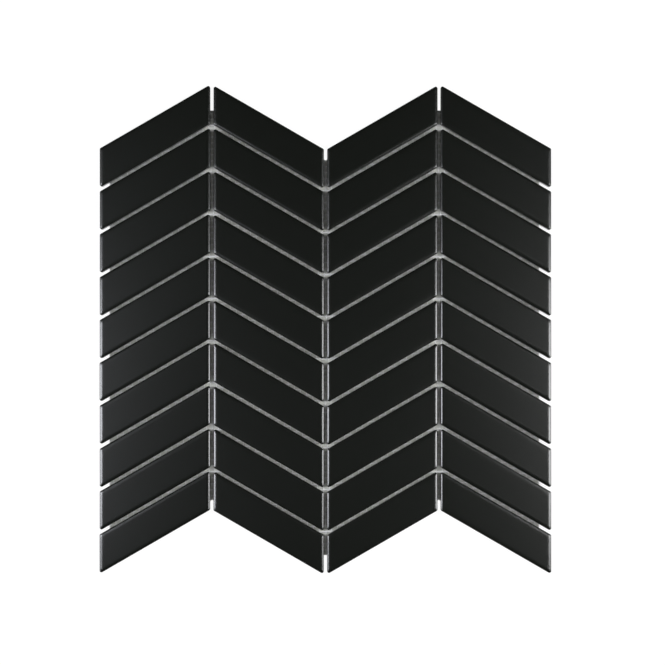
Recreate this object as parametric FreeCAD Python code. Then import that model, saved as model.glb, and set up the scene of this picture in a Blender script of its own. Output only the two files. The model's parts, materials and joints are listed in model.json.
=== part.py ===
import FreeCAD, Part
import math
import os

# Chevron mosaic sheet: glazed porcelain chips bonded to a glass-fibre mesh.
# All lengths are in millimetres. The sheet lies on its mesh with the glazed faces up.
# X runs across the columns, Y along them and Z up out of the glaze.
# The origin is the middle of the sheet's footprint, on the underside of the mesh.

# One chip, a parallelogram whose short sides run along Y
CHIP_LENGTH = 76.5
CHIP_WIDTH = 20.4
CHIP_THICKNESS = 5.6
CHEVRON_ANGLE = 30.0
CORNER_RADIUS = 1.2
EDGE_RADIUS = 1.1
BACK_CHAMFER = 0.3

# Keying grooves pressed into the back of a chip
GROOVE_COUNT = 3
GROOVE_DEPTH = 0.4
RIB_WIDTH = 2.4
BACK_RIM = 2.6

# How the chips are laid
COLUMNS = 4
ROWS = 10
JOINT = 1.9

# Backing mesh, cut from the roll as a rectangle and trimmed along both zigzag ends
MESH_THICKNESS = 0.4
MESH_LEFT_INSET = 5.3
MESH_RIGHT_INSET = 6.7
MESH_END_INSET = 5.8
MESH_PEAK_CUT = 15.0
MESH_TIP_CUT = 11.8

# What follows from those sizes
SLOPE = math.tan(math.radians(CHEVRON_ANGLE))
ACROSS = math.cos(math.radians(CHEVRON_ANGLE))
CHIP_SPAN = CHIP_LENGTH * ACROSS
COLUMN_PITCH = CHIP_SPAN + JOINT
ROW_PITCH = (CHIP_WIDTH + JOINT) / ACROSS
HALF_SHEET_WIDTH = (COLUMNS * COLUMN_PITCH - JOINT) / 2
HALF_COLUMN_HEIGHT = (ROWS * ROW_PITCH - JOINT / ACROSS) / 2
HALF_CHIP_RISE = COLUMN_PITCH * SLOPE / 2


def slanted_bar(span, width, height, slope):
    """Prism over a parallelogram with its ends along Y, centred on the Z axis, from z = 0 up."""
    half_side = width / ACROSS / 2
    left, right = -span / 2, span / 2
    corners = [
        FreeCAD.Vector(left, left * slope - half_side, 0),
        FreeCAD.Vector(right, right * slope - half_side, 0),
        FreeCAD.Vector(right, right * slope + half_side, 0),
        FreeCAD.Vector(left, left * slope + half_side, 0),
    ]
    outline = Part.makePolygon(corners + corners[:1])
    return Part.Face(outline).extrude(FreeCAD.Vector(0, 0, height))


def edges_at(shape, height):
    """Edges that lie flat in the plane z = height."""
    return [edge for edge in shape.Edges
            if abs(edge.BoundBox.ZMin - height) < 1e-6 and abs(edge.BoundBox.ZMax - height) < 1e-6]


def upright_edges(shape, height):
    """Edges that run the full height of a prism."""
    return [edge for edge in shape.Edges if edge.BoundBox.ZLength > height - 1e-6]


def keying_grooves(slope):
    """The shallow grooves between the ribs, along the chip's length, as bars to cut away."""
    span = CHIP_SPAN - 2 * BACK_RIM
    pressed_width = CHIP_WIDTH - 2 * BACK_RIM
    groove_width = (pressed_width - (GROOVE_COUNT - 1) * RIB_WIDTH) / GROOVE_COUNT
    step = (groove_width + RIB_WIDTH) / ACROSS
    grooves = []
    for number in range(GROOVE_COUNT):
        groove = slanted_bar(span, groove_width, GROOVE_DEPTH, slope)
        groove.translate(FreeCAD.Vector(0, (number - (GROOVE_COUNT - 1) / 2) * step, 0))
        grooves.append(groove)
    return grooves


def chip(slope):
    """One pressed and glazed chip, back down on z = 0, with its middle on the Z axis."""
    bar = slanted_bar(CHIP_SPAN, CHIP_WIDTH, CHIP_THICKNESS, slope)
    die = bar.makeFillet(CORNER_RADIUS, upright_edges(bar, CHIP_THICKNESS))
    pressed = bar.makeFillet(EDGE_RADIUS, edges_at(bar, CHIP_THICKNESS))
    pressed = pressed.makeChamfer(BACK_CHAMFER, edges_at(pressed, 0))
    return pressed.common(die).cut(keying_grooves(slope)).Solids[0]


def zigzag(level):
    """Points of the chevron line at the columns' joints, with peaks at every other joint."""
    points = []
    for joint in range(COLUMNS + 1):
        x = (joint - COLUMNS / 2) * COLUMN_PITCH
        rise = HALF_CHIP_RISE if joint % 2 else -HALF_CHIP_RISE
        points.append(FreeCAD.Vector(x, level + rise, 0))
    return points


def backing_mesh():
    """The mesh as a sheet of its own thickness, inside the chips' outline all round."""
    top = zigzag(HALF_COLUMN_HEIGHT - MESH_END_INSET)
    bottom = zigzag(MESH_END_INSET - HALF_COLUMN_HEIGHT)
    outline = top + bottom[::-1]
    trimmed = Part.Face(Part.makePolygon(outline + outline[:1]))

    left = MESH_LEFT_INSET - HALF_SHEET_WIDTH
    right = HALF_SHEET_WIDTH - MESH_RIGHT_INSET
    highest = HALF_COLUMN_HEIGHT + HALF_CHIP_RISE - MESH_PEAK_CUT
    lowest = MESH_TIP_CUT - HALF_COLUMN_HEIGHT - HALF_CHIP_RISE
    from_roll = Part.makePlane(right - left, highest - lowest, FreeCAD.Vector(left, lowest, 0))

    sheet = trimmed.common(from_roll).Faces[0]
    return sheet.extrude(FreeCAD.Vector(0, 0, MESH_THICKNESS))


def sheet_parts():
    """Every piece of the sheet in its place, by name."""
    parts = {"backing_mesh": backing_mesh()}
    rising, falling = chip(SLOPE), chip(-SLOPE)
    for column in range(COLUMNS):
        x = (column - (COLUMNS - 1) / 2) * COLUMN_PITCH
        for row in range(ROWS):
            y = ((ROWS - 1) / 2 - row) * ROW_PITCH
            piece = (falling if column % 2 else rising).copy()
            piece.translate(FreeCAD.Vector(x, y, MESH_THICKNESS))
            parts[f"chip_column{column + 1}_row{row + 1:02d}"] = piece
    return parts


os.makedirs("parts", exist_ok=True)
for name, shape in sheet_parts().items():
    shape.exportStep(f"parts/{name}.step")
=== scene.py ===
import json
import math
import random

import bpy
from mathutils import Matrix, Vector

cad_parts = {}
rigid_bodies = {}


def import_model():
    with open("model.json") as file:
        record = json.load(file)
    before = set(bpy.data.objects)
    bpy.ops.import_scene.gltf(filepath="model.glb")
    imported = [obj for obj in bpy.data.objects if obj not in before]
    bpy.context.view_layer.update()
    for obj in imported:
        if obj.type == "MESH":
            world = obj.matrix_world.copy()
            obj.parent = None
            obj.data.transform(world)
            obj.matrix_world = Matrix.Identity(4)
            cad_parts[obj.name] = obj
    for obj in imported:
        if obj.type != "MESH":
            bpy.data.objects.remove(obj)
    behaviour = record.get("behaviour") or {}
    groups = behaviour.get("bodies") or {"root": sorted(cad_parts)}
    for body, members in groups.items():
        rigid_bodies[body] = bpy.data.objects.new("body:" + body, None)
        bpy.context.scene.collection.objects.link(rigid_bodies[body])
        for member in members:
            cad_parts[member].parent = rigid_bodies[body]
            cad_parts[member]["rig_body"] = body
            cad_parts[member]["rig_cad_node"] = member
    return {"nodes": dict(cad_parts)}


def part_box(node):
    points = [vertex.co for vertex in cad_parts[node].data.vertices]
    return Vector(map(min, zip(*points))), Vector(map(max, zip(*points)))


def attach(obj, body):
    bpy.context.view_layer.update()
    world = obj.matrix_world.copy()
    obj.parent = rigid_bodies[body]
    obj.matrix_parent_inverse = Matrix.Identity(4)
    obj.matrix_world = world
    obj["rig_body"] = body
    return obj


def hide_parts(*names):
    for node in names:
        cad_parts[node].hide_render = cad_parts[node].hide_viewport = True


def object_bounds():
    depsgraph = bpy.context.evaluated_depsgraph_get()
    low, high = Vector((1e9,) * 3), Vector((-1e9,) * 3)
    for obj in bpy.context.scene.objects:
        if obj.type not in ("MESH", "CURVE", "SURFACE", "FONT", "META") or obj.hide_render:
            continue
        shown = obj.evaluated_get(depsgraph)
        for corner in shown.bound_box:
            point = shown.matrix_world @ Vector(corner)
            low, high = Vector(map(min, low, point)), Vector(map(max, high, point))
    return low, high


MM = 0.001

# The distance in which the wave texture repeats at scale 1
WAVE_PERIOD = 2 * math.pi / 20

# The photo's frame: its size, the real size of a pixel, and where the sheet's middle falls in it
PHOTO_SIDE = 665
PIXEL = 0.6 * MM
SHEET_MIDDLE_PIXEL = (325.5, 329.8)
CAMERA_HEIGHT = 1.3
CAMERA_FOOT = (0, -0.035)
CAMERA_SEES_TO = 50
SENSOR_WIDTH = 36

# Glass-fibre scrim of the backing mesh
YARN_SPACING = 3.6 * MM
WEFT_WIDTH = 1.0 * MM
WEFT_THICKNESS = 0.14 * MM
WARP_WIDTH = 0.42 * MM
WARP_THICKNESS = 0.12 * MM
WARP_SPREAD = 0.26 * MM
YARN_SIDES = 6
SCRIM_SKEW = math.radians(3)
FILAMENT_PITCH = 0.316 * MM
YARN_BLOTCHES = 5 * MM

# One chip, a parallelogram whose short sides run along Y
CHIP_ANGLE = math.radians(30)
CHIP_SPAN = 76.5 * MM * math.cos(CHIP_ANGLE)
CHIP_WIDTH = 20.4 * MM
CHIP_SIDE = CHIP_WIDTH / math.cos(CHIP_ANGLE)
CHIP_BACK = 0.4 * MM
CHIP_FACE = 6.0 * MM
CORNER_RADIUS = 1.1 * MM
CORNER_STEP = math.radians(15)
BACK_CHAMFER = 0.3 * MM
SMOOTH_ANGLE = math.radians(32)

# The melted glaze rolls over the edge in a flattened arc,
# and the face then swells gently to its flat middle
EDGE_REACH = 1.6 * MM
EDGE_DROP = 0.7 * MM
EDGE_STEPS = 12
CUSHION_TILT = math.radians(3)
CUSHION_WIDTH = 1.5 * MM
CUSHION_STEPS = 3

# Where a corner's arc is drawn to a point, as a share of its radius, how far from the corner its points
# may lie, and how far inside each side the cuts run that brace the corners
GATHER_SHARE = 0.95
GATHER_REACH = CHIP_SIDE / 3
BRACE_INSET = 2.2 * MM

# Keying grooves pressed into the back
GROOVE_COUNT = 3
GROOVE_DEPTH = 0.4 * MM
GROOVE_DRAFT = 0.25 * MM
RIB_WIDTH = 2.4 * MM
BACK_RIM = 2.6 * MM

# How far chips settle out of line when they are laid in the glue, and how far two of the columns sit off
SETTLE_SEED = 5
LAID_SHIFT = 0.07 * MM
LAID_TURN = math.radians(0.1)
LAID_TILT = math.radians(0.12)
COLUMN_SHIFT = {1: (-0.2 * MM, 0.4 * MM), 4: (0.1 * MM, 0.15 * MM)}

# How high the glaze's lower line lies at most, how far down it wanders from there, and how soft it is
GLAZE_LINE = 1.3 * MM
GLAZE_LINE_WANDER = 0.8 * MM
GLAZE_LINE_FADE = 0.5 * MM

# Distances between the glaze's waves, its orange peel, the wandering of its lower line and the body's grains
GLAZE_WAVES = 9 * MM
GLAZE_PEEL = 1.6 * MM
GLAZE_DRIFT = 4 * MM
BODY_GRAIN = 0.7 * MM

# Softboxes on both sides of the sheet, each with its radiance, its tint and its lower and upper end along Y
LAMP_DISTANCE = 1.0
SOFTBOX_TILT = math.radians(43)
SOFTBOX_DEPTH = 0.75
SOFTBOX_SIDES = (("left", -1, 12.8, "#f6f8ff", -0.19, 0.055), ("right", 1, 11.5, "#fdfeff", -0.19, 0.08))

# Reflectors beyond both ends of the softboxes, which light the slanting joints, each with its side,
# its middle along Y and its radiance, and one past the sheet's lower end, which lights the upright joints.
# None of them is mirrored in the glaze
REFLECTOR_LENGTH = 0.18
REFLECTORS = (("lower_left", -1, -0.52, 6.5), ("lower_right", 1, -0.52, 4.5),
              ("upper_left", -1, 0.26, 7.5), ("upper_right", 1, 0.26, 8.5))
FILL_TILT = math.radians(50)
FILL_SIDE = 0.5
FILL_RADIANCE = 2.2
STUDIO_LEVEL = 0.015

# The floor under the sheet, and the card between them
FLOOR_SIDE = 12.0
FLOOR_LEVEL = -0.1 * MM
CARD_TOP = -0.05 * MM
CARD_UNDERSIDE = -0.08 * MM
FLOOR_CARD = "#cdcec8"
FLOOR_SHADOW_SHARE = 0.05

# Distances within which points count as level, and as the same point
LEVEL_WITHIN = 0.01 * MM
SAME_WITHIN = 0.001 * MM


def colour(hex_code):
    """Linear RGBA of an sRGB hex colour."""
    channels = [int(hex_code[start:start + 2], 16) / 255 for start in (1, 3, 5)]
    linear = [c / 12.92 if c <= 0.04045 else ((c + 0.055) / 1.055) ** 2.4 for c in channels]
    return (*linear, 1)


def new_material(name):
    """An empty node material and its output node."""
    material = bpy.data.materials.new(name)
    material.use_nodes = True
    material.node_tree.nodes.clear()
    return material, material.node_tree.nodes.new("ShaderNodeOutputMaterial")


def node(tree, kind, settings=None, links=None, **inputs):
    """Adds a node: settings are its properties, inputs its values by socket, links what feeds a socket."""
    made = tree.nodes.new(kind)
    for name, value in (settings or {}).items():
        setattr(made, name, value)
    for socket, value in inputs.items():
        made.inputs[socket.replace("_", " ")].default_value = value
    for socket, source in (links or {}).items():
        tree.links.new(source, made.inputs[socket])
    return made


def glazed_porcelain():
    """Pressed porcelain under sprayed black glaze: glassy and faintly wavy on the face, bare on the back."""
    material, output = new_material("black_glazed_porcelain")
    tree = material.node_tree
    place = node(tree, "ShaderNodeTexCoord").outputs["Object"]

    # The glaze pulls slightly uneven as it melts, in long waves and a fine orange peel
    waves = node(tree, "ShaderNodeTexNoise", links={"Vector": place}, Scale=1 / GLAZE_WAVES, Detail=2.0)
    peel = node(tree, "ShaderNodeTexNoise", links={"Vector": place}, Scale=1 / GLAZE_PEEL, Detail=3.0)
    wave_bump = node(tree, "ShaderNodeBump", links={"Height": waves.outputs["Fac"]},
                     Strength=0.25, Distance=0.06 * MM)
    glaze_bump = node(tree, "ShaderNodeBump", Strength=0.2, Distance=0.012 * MM,
                      links={"Height": peel.outputs["Fac"], "Normal": wave_bump.outputs["Normal"]})
    glaze_colour = node(tree, "ShaderNodeValToRGB", links={"Fac": waves.outputs["Fac"]})
    glaze_colour.color_ramp.elements[0].color = colour("#050704")
    glaze_colour.color_ramp.elements[1].color = colour("#080a07")
    glaze = node(tree, "ShaderNodeBsdfPrincipled", Roughness=0.232, IOR=1.7,
                 links={"Base Color": glaze_colour.outputs["Color"], "Normal": glaze_bump.outputs["Normal"]})

    # The fired body is pale and fine grained
    grain = node(tree, "ShaderNodeTexNoise", links={"Vector": place}, Scale=1 / BODY_GRAIN, Detail=4.0)
    body_colour = node(tree, "ShaderNodeValToRGB", links={"Fac": grain.outputs["Fac"]})
    body_colour.color_ramp.elements[0].color = colour("#86827b")
    body_colour.color_ramp.elements[1].color = colour("#b4b0a8")
    body_bump = node(tree, "ShaderNodeBump", links={"Height": grain.outputs["Fac"]},
                     Strength=0.5, Distance=0.03 * MM)
    body = node(tree, "ShaderNodeBsdfPrincipled", Roughness=0.85, IOR=1.5,
                links={"Base Color": body_colour.outputs["Color"], "Normal": body_bump.outputs["Normal"]})

    # The glaze stops on the wall, in a line that wanders
    height = node(tree, "ShaderNodeSeparateXYZ", links={"Vector": place}).outputs["Z"]
    drift = node(tree, "ShaderNodeTexNoise", links={"Vector": place}, Scale=1 / GLAZE_DRIFT, Detail=3.0)
    edge = node(tree, "ShaderNodeMath", {"operation": "MULTIPLY_ADD"},
                links={0: drift.outputs["Fac"], 2: height})
    edge.inputs[1].default_value = GLAZE_LINE_WANDER
    glazed = node(tree, "ShaderNodeMapRange", links={"Value": edge.outputs[0]},
                  From_Min=GLAZE_LINE, From_Max=GLAZE_LINE + GLAZE_LINE_FADE)
    finish = node(tree, "ShaderNodeMixShader",
                  links={0: glazed.outputs[0], 1: body.outputs[0], 2: glaze.outputs[0]})
    tree.links.new(finish.outputs[0], output.inputs["Surface"])
    return material


def coated_yarn(name, along):
    """Glass-fibre yarn dipped in white resin: pale and half matt, its filaments showing as fine lines."""
    material, output = new_material(name)
    tree = material.node_tree
    place = node(tree, "ShaderNodeTexCoord").outputs["Object"]
    turned = node(tree, "ShaderNodeMapping", links={"Vector": place}, Rotation=(0, 0, -SCRIM_SKEW))
    filaments = node(tree, "ShaderNodeTexWave", {"bands_direction": "Y" if along == "X" else "X"},
                     links={"Vector": turned.outputs[0]}, Scale=WAVE_PERIOD / FILAMENT_PITCH,
                     Distortion=1.5)
    blotches = node(tree, "ShaderNodeTexNoise", links={"Vector": place}, Scale=1 / YARN_BLOTCHES, Detail=3.0)
    tone = node(tree, "ShaderNodeValToRGB", links={"Fac": blotches.outputs["Fac"]})
    tone.color_ramp.elements[0].color = colour("#dad9d3")
    tone.color_ramp.elements[1].color = colour("#ebe9e5")
    bump = node(tree, "ShaderNodeBump", links={"Height": filaments.outputs["Fac"]},
                Strength=0.4, Distance=0.02 * MM)
    yarn = node(tree, "ShaderNodeBsdfPrincipled", Roughness=0.5, IOR=1.5,
                links={"Base Color": tone.outputs["Color"], "Normal": bump.outputs["Normal"]})
    tree.links.new(yarn.outputs[0], output.inputs["Surface"])
    return material


def start_fresh():
    """Out of edit mode, with nothing selected."""
    if bpy.context.mode != "OBJECT":
        bpy.ops.object.mode_set(mode="OBJECT")
    bpy.ops.object.select_all(action="DESELECT")


def select_alone(piece):
    """Just this piece selected and active."""
    start_fresh()
    piece.select_set(True)
    bpy.context.view_layer.objects.active = piece


def yarn(name, start, steps, width, thickness, turn):
    """A flat yarn swept from start through the steps, as one closed tube."""
    start_fresh()
    bpy.ops.mesh.primitive_circle_add(vertices=YARN_SIDES, radius=0.5, fill_type="NGON",
                                      location=start, rotation=(math.pi / 2, 0, turn))
    piece = bpy.context.object
    piece.name = name
    piece.scale = (width, thickness, 1)
    bpy.ops.object.transform_apply(location=True, rotation=True, scale=True)
    bpy.ops.object.mode_set(mode="EDIT")
    bpy.ops.mesh.select_all(action="SELECT")
    for step in steps:
        bpy.ops.mesh.extrude_region_move(TRANSFORM_OT_translate={"value": step})
    bpy.ops.mesh.select_all(action="SELECT")
    bpy.ops.mesh.normals_make_consistent(inside=False)
    bpy.ops.object.mode_set(mode="OBJECT")
    return piece


def select_points(piece, test):
    """In edit mode afterwards, with only the vertices selected that pass the test."""
    bpy.ops.object.mode_set(mode="EDIT")
    bpy.ops.mesh.select_mode(type="VERT")
    bpy.ops.mesh.select_all(action="DESELECT")
    bpy.ops.object.mode_set(mode="OBJECT")
    for vertex in piece.data.vertices:
        vertex.select = test(vertex.co)
    bpy.ops.object.mode_set(mode="EDIT")


def select_level(piece, height):
    """Selects the flat face at this height, in edit mode."""
    select_points(piece, lambda place: abs(place.z - height) < LEVEL_WITHIN)
    bpy.ops.mesh.select_mode(type="FACE")


def slanted_slab(name, span, side, height, slope):
    """A flat parallelogram with its short sides along Y, ready in edit mode."""
    start_fresh()
    bpy.ops.mesh.primitive_plane_add(size=1, location=(0, 0, height))
    piece = bpy.context.object
    piece.name = name
    piece.scale = (span, side, 1)
    bpy.ops.object.transform_apply(location=True, rotation=True, scale=True)
    for end in (-1, 1):
        select_points(piece, lambda place: place.x * end > 0)
        bpy.ops.transform.translate(value=(0, end * slope * span / 2, 0))
    return piece


def keying_bars(slope):
    """The bars that the keying grooves are cut with, a little narrower at their tops."""
    pressed = CHIP_WIDTH - 2 * BACK_RIM
    width = (pressed - (GROOVE_COUNT - 1) * RIB_WIDTH) / GROOVE_COUNT
    step = (width + RIB_WIDTH) / math.cos(CHIP_ANGLE)
    bars = slanted_slab("keying_bars", CHIP_SPAN - 2 * BACK_RIM, width / math.cos(CHIP_ANGLE),
                        CHIP_BACK - GROOVE_DEPTH, slope)
    bpy.ops.mesh.select_all(action="SELECT")
    bpy.ops.mesh.extrude_region_move(TRANSFORM_OT_translate={"value": (0, 0, GROOVE_DEPTH)})
    bpy.ops.mesh.inset(thickness=GROOVE_DRAFT, depth=0)
    bpy.ops.transform.translate(value=(0, 0, GROOVE_DEPTH))
    bpy.ops.mesh.select_all(action="SELECT")
    bpy.ops.transform.translate(value=(0, -step * (GROOVE_COUNT - 1) / 2, 0))
    bpy.ops.mesh.normals_make_consistent(inside=False)
    bpy.ops.object.mode_set(mode="OBJECT")
    repeat(bars, GROOVE_COUNT, (0, step, 0))
    return bars


def chip_outline(slope, height):
    """The chip's outline as one flat face, drawn side by side and spun round each corner's centre."""
    half, side = CHIP_SPAN / 2, CHIP_SIDE / 2
    corners = [Vector((x, x * slope + y, height)) for x, y in
               ((-half, -side), (half, -side), (half, side), (-half, side))]
    start_fresh()
    bpy.ops.mesh.primitive_plane_add(size=1, location=corners[0])
    piece = bpy.context.object
    piece.name = "chip"
    bpy.ops.object.transform_apply(location=True, rotation=True, scale=True)
    bpy.ops.object.mode_set(mode="EDIT")
    bpy.ops.mesh.select_mode(type="VERT")
    bpy.ops.mesh.merge(type="CENTER")
    place = corners[0]
    for number, corner in enumerate(corners):
        arriving = (corner - corners[number - 1]).normalized()
        leaving = (corners[(number + 1) % 4] - corner).normalized()
        turn = arriving.angle(leaving)
        reach = CORNER_RADIUS * math.tan(turn / 2)
        begin = corner - arriving * reach
        if number == 0:
            bpy.ops.transform.translate(value=begin - place)
        else:
            bpy.ops.mesh.extrude_region_move(TRANSFORM_OT_translate={"value": begin - place})
        centre = begin + Vector((-arriving.y, arriving.x, 0)) * CORNER_RADIUS
        bpy.ops.mesh.spin(steps=round(turn / CORNER_STEP), angle=turn, center=centre, axis=(0, 0, -1))
        place = corner + leaving * reach
    bpy.ops.mesh.select_all(action="SELECT")
    bpy.ops.mesh.edge_face_add()
    return piece


def gather_corners(piece, slope, inset, height):
    """Merges each corner's ring of points at this height to one, where the inset sides meet."""
    for end in (-1, 1):
        for side in (-1, 1):
            x = end * (CHIP_SPAN / 2 - inset)
            corner = Vector((x, slope * x + side * (CHIP_SIDE / 2 - inset / math.cos(CHIP_ANGLE)), height))
            select_points(piece, lambda place: abs(place.z - height) < LEVEL_WITHIN and
                          (place - corner).length < GATHER_REACH)
            bpy.context.scene.cursor.location = corner
            bpy.ops.mesh.merge(type="CURSOR")


def brace_corners(slope):
    """Cuts beside each corner, which keep its turned shading off the straight edges."""
    across = CHIP_SPAN / 2 - BRACE_INSET
    along = CHIP_SIDE / 2 - BRACE_INSET / math.cos(CHIP_ANGLE)
    for end in (-1, 1):
        for point, normal in (((end * across, 0, 0), (1, 0, 0)), ((0, end * along, 0), (-slope, 1, 0))):
            bpy.ops.mesh.select_all(action="SELECT")
            bpy.ops.mesh.bisect(plane_co=point, plane_no=normal)


def edge_point(share):
    """How far in and how high the rolled edge is, from the wall at share 0 to the cushion at share 1."""
    tilt = math.pi / 2 + (CUSHION_TILT - math.pi / 2) * share
    angle = math.atan2(EDGE_DROP, EDGE_REACH * math.tan(tilt))
    return EDGE_REACH * (1 - math.cos(angle)), EDGE_DROP * math.sin(angle)


def glazed_chip(slope):
    """One chip: upright walls, an edge the glaze rolls over, a softly cushioned face and a keyed back."""
    rise = CUSHION_WIDTH * math.tan(CUSHION_TILT) / 2
    wall_top = CHIP_FACE - rise - edge_point(1)[1]
    piece = chip_outline(slope, wall_top)

    # Walls down to the back, with its chamfer
    bpy.ops.mesh.select_all(action="SELECT")
    drop = wall_top - CHIP_BACK - BACK_CHAMFER
    bpy.ops.mesh.extrude_region_move(TRANSFORM_OT_translate={"value": (0, 0, -drop)})
    bpy.ops.mesh.select_all(action="SELECT")
    bpy.ops.mesh.normals_make_consistent(inside=False)
    select_level(piece, CHIP_BACK + BACK_CHAMFER)
    bpy.ops.mesh.inset(thickness=BACK_CHAMFER, depth=BACK_CHAMFER)

    # The rolled edge, with each corner drawn to a point where the insets have used up its radius
    inset, level, gathered = 0, 0, False
    for number in range(1, EDGE_STEPS + 1):
        next_inset, next_level = edge_point(number / EDGE_STEPS)
        if next_inset > CORNER_RADIUS * GATHER_SHARE and not gathered:
            gather_corners(piece, slope, inset, wall_top + level)
            gathered = True
        select_level(piece, wall_top + level)
        bpy.ops.mesh.inset(thickness=next_inset - inset, depth=next_level - level)
        inset, level = next_inset, next_level

    # The cushion, whose slope fades to nothing on the flat middle
    select_level(piece, CHIP_FACE - rise)
    level = 0
    for number in range(1, CUSHION_STEPS + 1):
        share = number / CUSHION_STEPS
        next_level = rise * (2 * share - share ** 2)
        bpy.ops.mesh.inset(thickness=CUSHION_WIDTH / CUSHION_STEPS, depth=next_level - level)
        level = next_level
    brace_corners(slope)
    bpy.ops.object.mode_set(mode="OBJECT")

    bars = keying_bars(slope)
    keyed = piece.modifiers.new("keying", "BOOLEAN")
    keyed.operation = "DIFFERENCE"
    keyed.solver = "MANIFOLD"
    keyed.object = bars
    apply_modifier(piece, keyed)
    bpy.data.objects.remove(bars)
    merge_close(piece)
    bpy.ops.object.shade_smooth_by_angle(angle=SMOOTH_ANGLE)
    return piece


def lay_chips(nodes, finish):
    """A chip in the place of every chip node, each settled a little differently in the glue."""
    settle = random.Random(SETTLE_SEED)
    patterns = {slope: glazed_chip(slope * math.tan(CHIP_ANGLE)) for slope in (1, -1)}
    for name in sorted(nodes):
        if not name.startswith("chip_"):
            continue
        low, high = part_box(name)
        column = int(name[len("chip_column")])
        pattern = patterns[1 if column % 2 else -1]
        piece = pattern.copy()
        piece.data = pattern.data.copy()
        piece.name = name.replace("chip", "glazed_chip")
        bpy.context.scene.collection.objects.link(piece)
        middle = (low + high) / 2
        shift = COLUMN_SHIFT.get(column, (0, 0))
        piece.location = (middle.x + shift[0] + settle.uniform(-1, 1) * LAID_SHIFT,
                          middle.y + shift[1] + settle.uniform(-1, 1) * LAID_SHIFT, 0)
        piece.rotation_euler = (settle.uniform(-1, 1) * LAID_TILT, settle.uniform(-1, 1) * LAID_TILT,
                                settle.uniform(-1, 1) * LAID_TURN)
        select_alone(piece)
        bpy.ops.object.transform_apply(location=True, rotation=True, scale=True)
        piece.data.materials.clear()
        piece.data.materials.append(finish)
        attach(piece, "root")
        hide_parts(name)
    for pattern in patterns.values():
        bpy.data.objects.remove(pattern)


def repeat(piece, count, offset):
    """Copies of a piece in a row, in the same mesh."""
    array = piece.modifiers.new("row", "ARRAY")
    array.count = count
    array.use_relative_offset = False
    array.use_constant_offset = True
    array.constant_offset_displace = offset
    apply_modifier(piece, array)


def apply_modifier(piece, modifier):
    """Applies one modifier to the piece's mesh."""
    select_alone(piece)
    bpy.ops.object.modifier_apply(modifier=modifier.name)


def merge_close(piece):
    """Merges the piece's points that lie at the same place, so that no face is left without an area."""
    select_alone(piece)
    bpy.ops.object.mode_set(mode="EDIT")
    bpy.ops.mesh.select_all(action="SELECT")
    bpy.ops.mesh.remove_doubles(threshold=SAME_WITHIN)
    bpy.ops.object.mode_set(mode="OBJECT")


def trim_to(piece, outline):
    """Turns the woven piece to the scrim's skew and cuts it to the backing mesh's outline."""
    select_alone(piece)
    piece.rotation_euler = (0, 0, SCRIM_SKEW)
    bpy.ops.object.transform_apply(location=True, rotation=True, scale=True)
    cut = piece.modifiers.new("cut", "BOOLEAN")
    cut.operation = "INTERSECT"
    cut.solver = "MANIFOLD"
    cut.object = outline
    apply_modifier(piece, cut)
    merge_close(piece)
    for face in piece.data.polygons:
        face.use_smooth = True


def mesh_outline(backing):
    """The backing mesh's own solid, merged, as the shape that the yarns are cut to."""
    start_fresh()
    copy = backing.copy()
    copy.data = backing.data.copy()
    bpy.context.scene.collection.objects.link(copy)
    copy.name = "mesh_outline"
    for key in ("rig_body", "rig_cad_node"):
        del copy[key]
    copy.parent = None
    merge_close(copy)
    return copy


def scrim(backing):
    """Warp pairs that cross over and under straight flat wefts, as glass-fibre tile mesh is woven."""
    low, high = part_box(backing.name)
    reach = (high - low).xy.length / 2 + YARN_SPACING
    count = math.ceil(2 * reach / YARN_SPACING)
    middle = (low.z + high.z) / 2
    lift = (WEFT_THICKNESS + WARP_THICKNESS) / 2

    weft = yarn("mesh_weft", (-reach, -reach, middle), [(YARN_SPACING, 0, 0)] * count,
                WEFT_WIDTH, WEFT_THICKNESS, math.pi / 2)
    repeat(weft, count + 1, (0, YARN_SPACING, 0))

    woven = [(weft, "X")]
    for side, name in ((-1, "mesh_warp_left"), (1, "mesh_warp_right")):
        start = (side * WARP_SPREAD - reach, -reach, middle + side * lift)
        steps = []
        for crossing in range(count):
            sign = -side if crossing % 2 == 0 else side
            steps += [(sign * WARP_SPREAD, YARN_SPACING / 2, sign * lift)] * 2
        strand = yarn(name, start, steps, WARP_WIDTH, WARP_THICKNESS, 0)
        repeat(strand, count + 1, (YARN_SPACING, 0, 0))
        woven.append((strand, "Y"))

    outline = mesh_outline(backing)
    finishes = {along: coated_yarn(f"coated_glass_yarn_{along.lower()}", along) for along in "XY"}
    for piece, along in woven:
        trim_to(piece, outline)
        piece.data.materials.append(finishes[along])
        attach(piece, "root")
        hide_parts(backing.name)
    return outline


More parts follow.
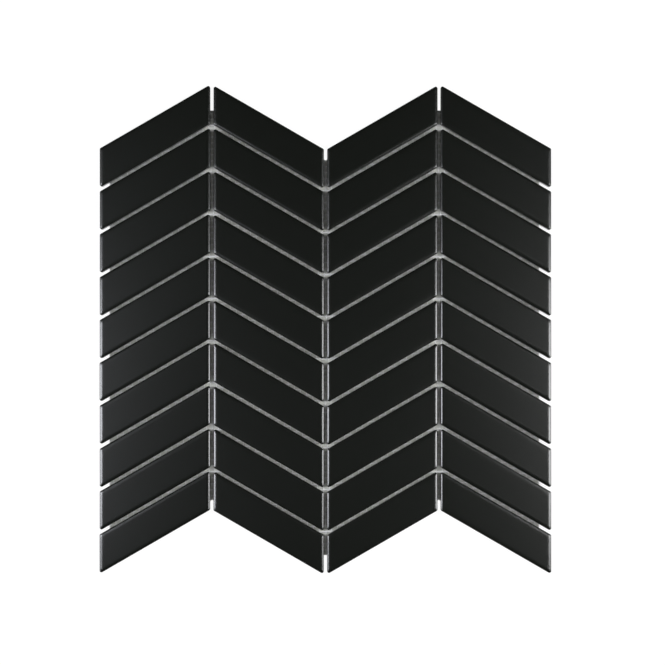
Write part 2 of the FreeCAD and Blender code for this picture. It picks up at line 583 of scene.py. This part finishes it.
def floor(outline):
    """A white sweep, and a matt white card under the joints with the backing mesh's outline."""
    material, output = new_material("white_sweep")
    tree = material.node_tree
    rays = node(tree, "ShaderNodeLightPath")
    seen = node(tree, "ShaderNodeMath", {"operation": "MAXIMUM"},
                links={0: rays.outputs["Is Camera Ray"], 1: rays.outputs["Is Glossy Ray"]})
    seen_through = node(tree, "ShaderNodeMath", {"operation": "MAXIMUM"},
                        links={0: seen.outputs[0], 1: rays.outputs["Is Transmission Ray"]})
    card = node(tree, "ShaderNodeBsdfDiffuse", Color=colour(FLOOR_CARD))
    shade = FLOOR_SHADOW_SHARE
    shadowed = node(tree, "ShaderNodeBsdfDiffuse", Color=(shade, shade, shade, 1))
    glow = node(tree, "ShaderNodeEmission", Strength=1 - shade)
    white = node(tree, "ShaderNodeAddShader", links={0: shadowed.outputs[0], 1: glow.outputs[0]})
    mixed = node(tree, "ShaderNodeMixShader",
                 links={0: seen_through.outputs[0], 1: card.outputs[0], 2: white.outputs[0]})
    tree.links.new(mixed.outputs[0], output.inputs["Surface"])

    start_fresh()
    bpy.ops.mesh.primitive_plane_add(size=FLOOR_SIDE, location=(0, 0, FLOOR_LEVEL))
    sweep = bpy.context.object
    sweep.name = "floor_sweep"
    sweep.data.materials.append(material)

    matt, output = new_material("matt_white_card")
    face = node(matt.node_tree, "ShaderNodeBsdfDiffuse", Color=colour(FLOOR_CARD))
    matt.node_tree.links.new(face.outputs[0], output.inputs["Surface"])
    outline.name = "floor_card"
    outline.data.materials.clear()
    outline.data.materials.append(matt)
    for vertex in outline.data.vertices:
        vertex.co.z = CARD_TOP if vertex.co.z > CHIP_BACK / 2 else CARD_UNDERSIDE


def softbox(name, place, tilt, size, radiance, tint="#ffffff"):
    """A softbox seen by everything but the camera. The tilt turns it about X and Y from facing down."""
    data = bpy.data.lights.new(name, "AREA")
    data.shape = "RECTANGLE"
    data.size, data.size_y = size
    data.color = colour(tint)[:3]
    data.energy = radiance * math.pi * size[0] * size[1]
    lamp = bpy.data.objects.new(name, data)
    bpy.context.scene.collection.objects.link(lamp)
    lamp.location = place
    lamp.rotation_euler = (*tilt, 0)
    lamp.visible_camera = False
    return lamp


def lights():
    """A softbox and two reflectors on each side of the sheet, and a weak reflector past its lower end."""
    across, up = LAMP_DISTANCE * math.sin(SOFTBOX_TILT), LAMP_DISTANCE * math.cos(SOFTBOX_TILT)
    for name, side, radiance, tint, lower, upper in SOFTBOX_SIDES:
        softbox("softbox_" + name, (side * across, (lower + upper) / 2, up), (0, side * SOFTBOX_TILT),
                (SOFTBOX_DEPTH, upper - lower), radiance, tint)
    for name, side, offset, radiance in REFLECTORS:
        reflector = softbox("reflector_" + name, (side * across, offset, up), (0, side * SOFTBOX_TILT),
                            (SOFTBOX_DEPTH, REFLECTOR_LENGTH), radiance)
        reflector.visible_glossy = False
    fill = softbox("fill", (0, -LAMP_DISTANCE * math.sin(FILL_TILT), LAMP_DISTANCE * math.cos(FILL_TILT)),
                   (FILL_TILT, 0), (FILL_SIDE, FILL_SIDE), FILL_RADIANCE)
    fill.visible_glossy = False


def studio():
    """A dim, even studio round the softboxes, white where the camera looks past the floor."""
    world = bpy.data.worlds.new("studio")
    world.use_nodes = True
    tree = world.node_tree
    tree.nodes.clear()
    rays = node(tree, "ShaderNodeLightPath")
    dim = node(tree, "ShaderNodeBackground", Strength=STUDIO_LEVEL)
    white = node(tree, "ShaderNodeBackground", Strength=1.0)
    for background in (dim, white):
        background.inputs["Color"].default_value = (1, 1, 1, 1)
    mixed = node(tree, "ShaderNodeMixShader",
                 links={0: rays.outputs["Is Camera Ray"], 1: dim.outputs[0], 2: white.outputs[0]})
    output = node(tree, "ShaderNodeOutputWorld")
    tree.links.new(mixed.outputs[0], output.inputs["Surface"])
    bpy.context.scene.world = world


def camera(sheet_top):
    """Above the sheet and looking straight down, with the photo's framing taken up by the lens shift."""
    data = bpy.data.cameras.new("camera")
    data.sensor_width = SENSOR_WIDTH
    frame_side = PHOTO_SIDE * PIXEL
    data.lens = SENSOR_WIDTH * CAMERA_HEIGHT / frame_side
    data.clip_end = CAMERA_SEES_TO
    middle = PHOTO_SIDE / 2
    frame_middle = ((middle - SHEET_MIDDLE_PIXEL[0]) * PIXEL, (SHEET_MIDDLE_PIXEL[1] - middle) * PIXEL)
    data.shift_x = (frame_middle[0] - CAMERA_FOOT[0]) / frame_side
    data.shift_y = (frame_middle[1] - CAMERA_FOOT[1]) / frame_side
    made = bpy.data.objects.new("camera", data)
    bpy.context.scene.collection.objects.link(made)
    made.location = (*CAMERA_FOOT, sheet_top + CAMERA_HEIGHT)
    bpy.context.scene.camera = made


for leftover in list(bpy.data.objects):
    bpy.data.objects.remove(leftover)
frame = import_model()
cad_low, cad_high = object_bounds()

lay_chips(frame["nodes"], glazed_porcelain())
outline = scrim(frame["nodes"]["backing_mesh"])
floor(outline)
lights()
studio()
camera(cad_high.z)
bpy.context.scene.view_settings.view_transform = "Standard"
